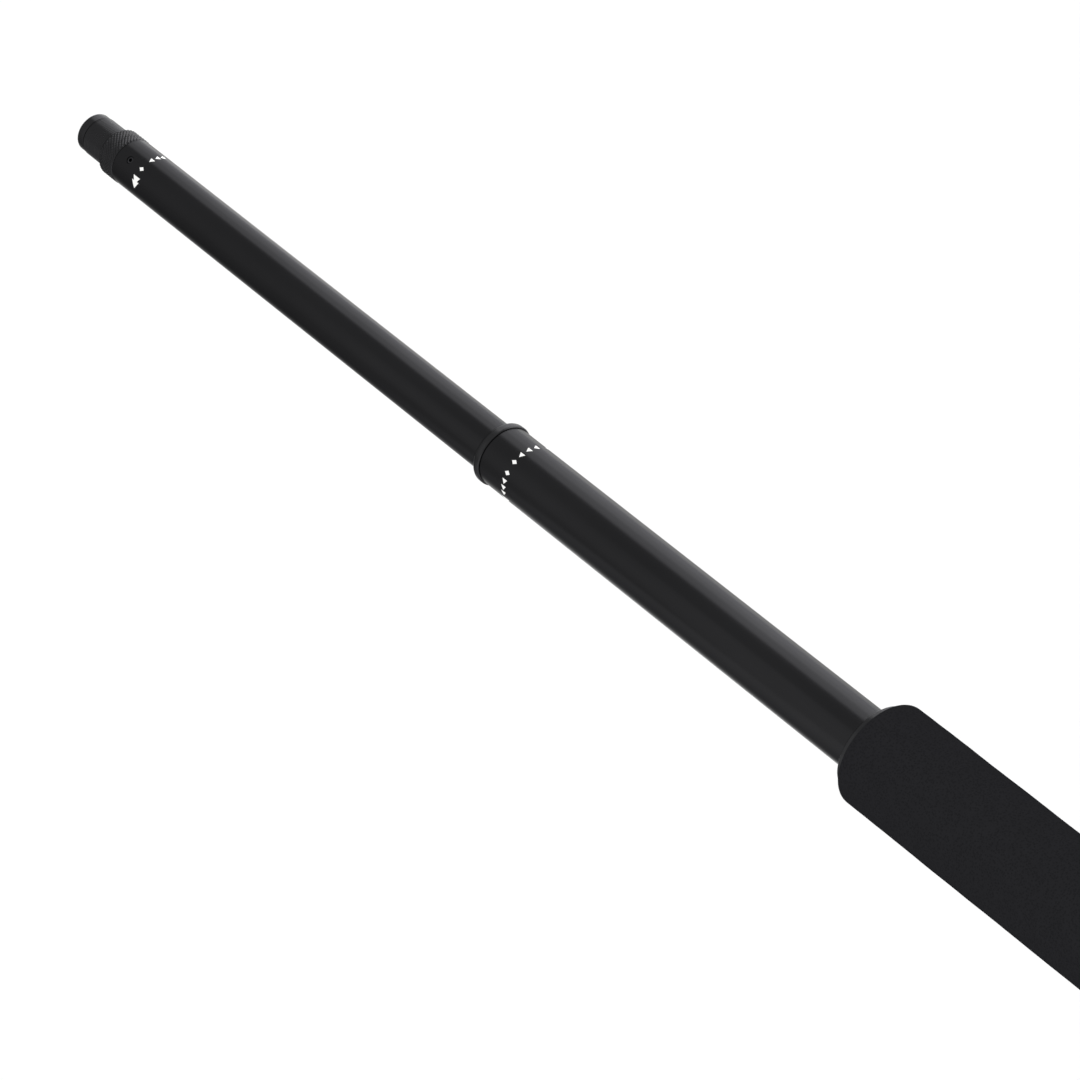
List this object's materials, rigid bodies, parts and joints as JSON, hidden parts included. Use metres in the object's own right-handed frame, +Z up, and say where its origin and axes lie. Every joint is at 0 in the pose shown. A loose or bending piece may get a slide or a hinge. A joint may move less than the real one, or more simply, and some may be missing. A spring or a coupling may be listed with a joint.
{
  "type": "boom pole",
  "caption": "Telescoping microphone boom pole with internal twist locks, a foam grip, and a threaded tip with a knurled lock ring.",
  "frame": {"origin": "centre of the flat rear face of the butt cap", "axes": "+X along the pole to the microphone end, +Z up"},
  "size_m": [1.2186, 0.038, 0.0378],
  "materials": {
    "tube_aluminium": "satin black anodised",
    "machined_aluminium": "satin black anodised, turned or knurled",
    "bare_aluminium": "plain machined",
    "grip_foam": "matt closed-cell foam",
    "black_rubber": "matt moulded",
    "nylon": "natural nylon, moulded",
    "black_nylon": "black nylon, moulded",
    "steel": "plain steel",
    "black_steel": "black oxide",
    "brass": "turned"
  },
  "bodies": {
    "base": {"base_tube": "tube_aluminium", "base_front_bush": "machined_aluminium", "foam_grip": "grip_foam", "grip_rear_ring": "machined_aluminium", "butt_plug": "black_nylon", "plug_pin": "steel", "butt_cap": "black_rubber", "end_bumper": "black_rubber"},
    "middle_expander": {"middle_expander": "nylon"},
    "middle": {"middle_tube": "tube_aluminium", "middle_front_bush": "machined_aluminium", "middle_rear_guide": "nylon", "middle_lock_plug": "bare_aluminium", "middle_stud": "steel", "middle_thrust_washer": "brass", "middle_end_nut": "steel"},
    "middle_cone": {"middle_cone": "brass", "middle_cone_key": "steel"},
    "tip_expander": {"tip_expander": "nylon"},
    "tip": {"tip_tube": "tube_aluminium", "tip_rear_guide": "nylon", "tip_lock_plug": "bare_aluminium", "tip_stud": "steel", "tip_thrust_washer": "brass", "tip_end_nut": "steel", "mic_spigot": "machined_aluminium", "thread_insert": "machined_aluminium", "grub_screws": "black_steel"},
    "tip_cone": {"tip_cone": "brass", "tip_cone_key": "steel"},
    "lock_ring_washer": {"lock_ring_washer": "black_nylon"},
    "lock_ring": {"lock_ring": "machined_aluminium"}
  },
  "joints": [
    {"name": "middle_slide", "type": "slide", "parent": "base", "child": "middle_expander", "axis": [1, 0, 0], "range_m": [-0.1883, 0.4567]},
    {"name": "middle_twist", "type": "hinge", "parent": "middle_expander", "child": "middle", "pos_m": [0.2618, 0, 0], "axis": [1, 0, 0], "range_deg": [0, 240]},
    {"name": "middle_cone_travel", "type": "slide", "parent": "middle_expander", "child": "middle_cone", "axis": [1, 0, 0], "range_m": [-0.00085, 0]},
    {"name": "tip_slide", "type": "slide", "parent": "middle", "child": "tip_expander", "axis": [1, 0, 0], "range_m": [-0.2195, 0.3661]},
    {"name": "tip_twist", "type": "hinge", "parent": "tip_expander", "child": "tip", "pos_m": [0.5432, 0, 0], "axis": [1, 0, 0], "range_deg": [0, 240]},
    {"name": "tip_cone_travel", "type": "slide", "parent": "tip_expander", "child": "tip_cone", "axis": [1, 0, 0], "range_m": [-0.0007, 0]},
    {"name": "lock_ring_travel", "type": "slide", "parent": "tip", "child": "lock_ring_washer", "axis": [1, 0, 0], "range_m": [0, 0.0076]},
    {"name": "lock_ring_spin", "type": "hinge", "parent": "lock_ring_washer", "child": "lock_ring", "pos_m": [1.1932, 0, 0], "axis": [1, 0, 0], "range_deg": [0, 2880]}
  ],
  "couplings": [
    {"joint": "middle_cone_travel", "follows": "middle_twist", "m_per_rad": -0.00019894},
    {"joint": "tip_cone_travel", "follows": "tip_twist", "m_per_rad": -0.00015915},
    {"joint": "lock_ring_travel", "follows": "lock_ring_spin", "m_per_rad": 0.00014972}
  ]
}
